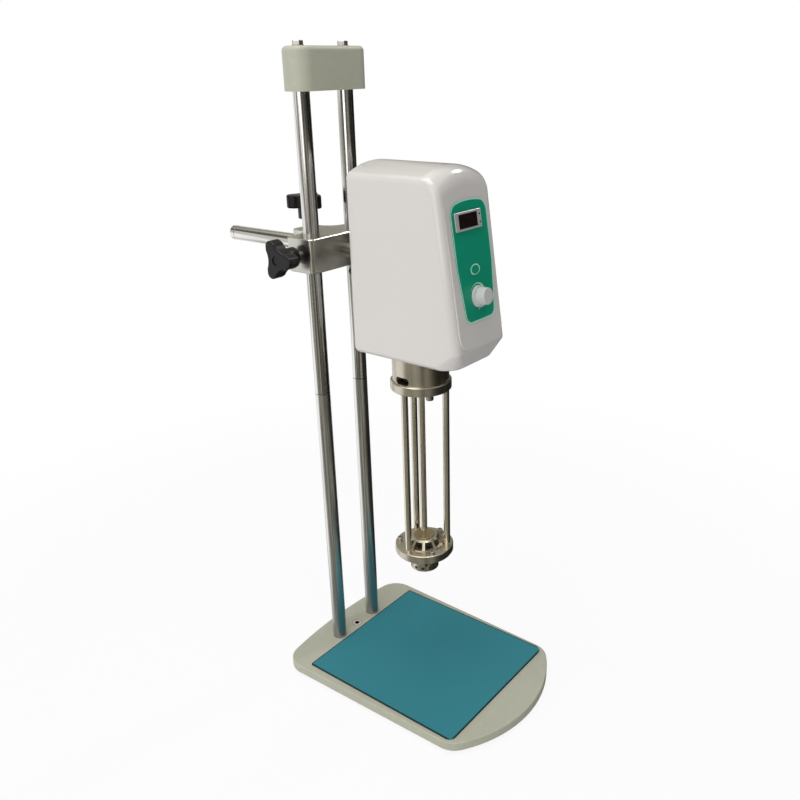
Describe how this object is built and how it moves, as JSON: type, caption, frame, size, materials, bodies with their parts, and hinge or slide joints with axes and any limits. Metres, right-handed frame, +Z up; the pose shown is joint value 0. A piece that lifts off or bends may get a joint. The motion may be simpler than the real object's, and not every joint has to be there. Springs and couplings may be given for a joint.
{
  "type": "rotor stator homogenizer",
  "caption": "Bench rotor stator homogenizer: motor head with a slotted work head on a clamped bar, carried by a twin column stand with a matted base plate.",
  "frame": {"origin": "middle of the footprint on the bench, under the feet", "axes": "+Z up along the columns, +X to the user's right, control face towards -Y"},
  "size_m": [0.226, 0.454, 0.7592],
  "materials": {
    "plate_paint": "satin",
    "mat_rubber": "satin",
    "foot_rubber": "matte",
    "screw_steel": "satin",
    "column_chrome": "polished",
    "clamp_nickel": "satin",
    "knob_plastic": "satin",
    "cast_alloy": "as cast",
    "housing_shell": "gloss",
    "cover_paint": "satin",
    "overlay_film": "satin",
    "bezel_silver": "satin",
    "window_tint": "gloss",
    "board_laminate": "satin",
    "button_plastic": "satin",
    "dial_plastic": "satin",
    "motor_steel": "satin",
    "brush_carbon": "matte",
    "stainless": "polished",
    "bush_bronze": "satin",
    "coupling_alloy": "satin"
  },
  "bodies": {
    "stand": {"base_plate": "plate_paint", "work_mat": "mat_rubber", "rubber_feet": "foot_rubber", "foot_screws": "screw_steel", "column_left": "column_chrome", "column_right": "column_chrome", "column_screws": "screw_steel", "centre_screw": "screw_steel", "top_cap": "plate_paint", "cap_washers": "screw_steel", "cap_bolts": "screw_steel"},
    "carriage": {"clamp_block": "clamp_nickel"},
    "side_knob": {"side_knob_grip": "knob_plastic", "side_knob_stud": "screw_steel"},
    "bar_knob": {"bar_knob_grip": "knob_plastic", "bar_knob_stud": "screw_steel"},
    "bar": {"support_bar": "column_chrome"},
    "head": {"motor_frame": "cast_alloy", "head_housing": "housing_shell", "back_cover": "cover_paint", "cover_screws": "screw_steel", "bar_set_screw": "screw_steel", "cable_gland": "knob_plastic", "gland_nut": "knob_plastic", "panel_overlay": "overlay_film", "display_bezel": "bezel_silver", "display_window": "window_tint", "status_leds": "window_tint", "control_board": "board_laminate", "potentiometer": "bezel_silver", "button_switch": "knob_plastic", "motor_can": "motor_steel", "motor_screws": "screw_steel", "motor_field": "motor_steel", "motor_bearings": "screw_steel", "carbon_brushes": "brush_carbon", "neck_sleeve": "stainless", "neck_screws": "screw_steel", "cage_ring": "stainless", "ring_screws": "screw_steel", "support_posts": "stainless", "post_screws": "screw_steel", "lower_flange": "stainless", "flange_screws": "screw_steel", "bearing_hub": "stainless", "shaft_bush": "bush_bronze", "stator_head": "stainless"},
    "dial": {"speed_knob": "dial_plastic", "dial_shaft": "screw_steel"},
    "button": {"start_button": "button_plastic"},
    "rotor": {"armature": "motor_steel", "cooling_fan": "knob_plastic", "shaft_coupling": "coupling_alloy", "coupling_screws": "screw_steel", "drive_shaft": "stainless", "cutting_rotor": "stainless", "rotor_nut": "screw_steel"}
  },
  "joints": [
    {"name": "carriage_slide", "type": "slide", "parent": "stand", "child": "carriage", "axis": [0, 0, 1], "range_m": [-0.13, 0.105]},
    {"name": "side_knob_turn", "type": "hinge", "parent": "carriage", "child": "side_knob", "pos_m": [-0.063, 0.055, 0.543], "axis": [-1, 0, 0], "range_deg": [0, 360]},
    {"name": "bar_knob_turn", "type": "hinge", "parent": "carriage", "child": "bar_knob", "pos_m": [0, 0.093, 0.573], "axis": [0, 0, 1], "range_deg": [0, 360]},
    {"name": "bar_slide", "type": "slide", "parent": "carriage", "child": "bar", "axis": [0, 1, 0], "range_m": [-0.115, 0.03]},
    {"name": "head_swing", "type": "hinge", "parent": "bar", "child": "head", "pos_m": [0, 0, 0.543], "axis": [0, 1, 0], "range_deg": [-90, 90]},
    {"name": "dial_turn", "type": "hinge", "parent": "head", "child": "dial", "pos_m": [0, -0.14672, 0.51487], "axis": [0, -0.9882, 0.153], "range_deg": [-150, 150]},
    {"name": "button_press", "type": "slide", "parent": "head", "child": "button", "axis": [0, 0.9882, -0.153], "range_m": [0, 0.0006], "stiffness_N_per_m": 800, "springref_m": -0.0005},
    {"name": "rotor_spin", "type": "hinge", "parent": "head", "child": "rotor", "pos_m": [0, -0.07, 0.3], "axis": [0, 0, 1], "continuous": true}
  ]
}
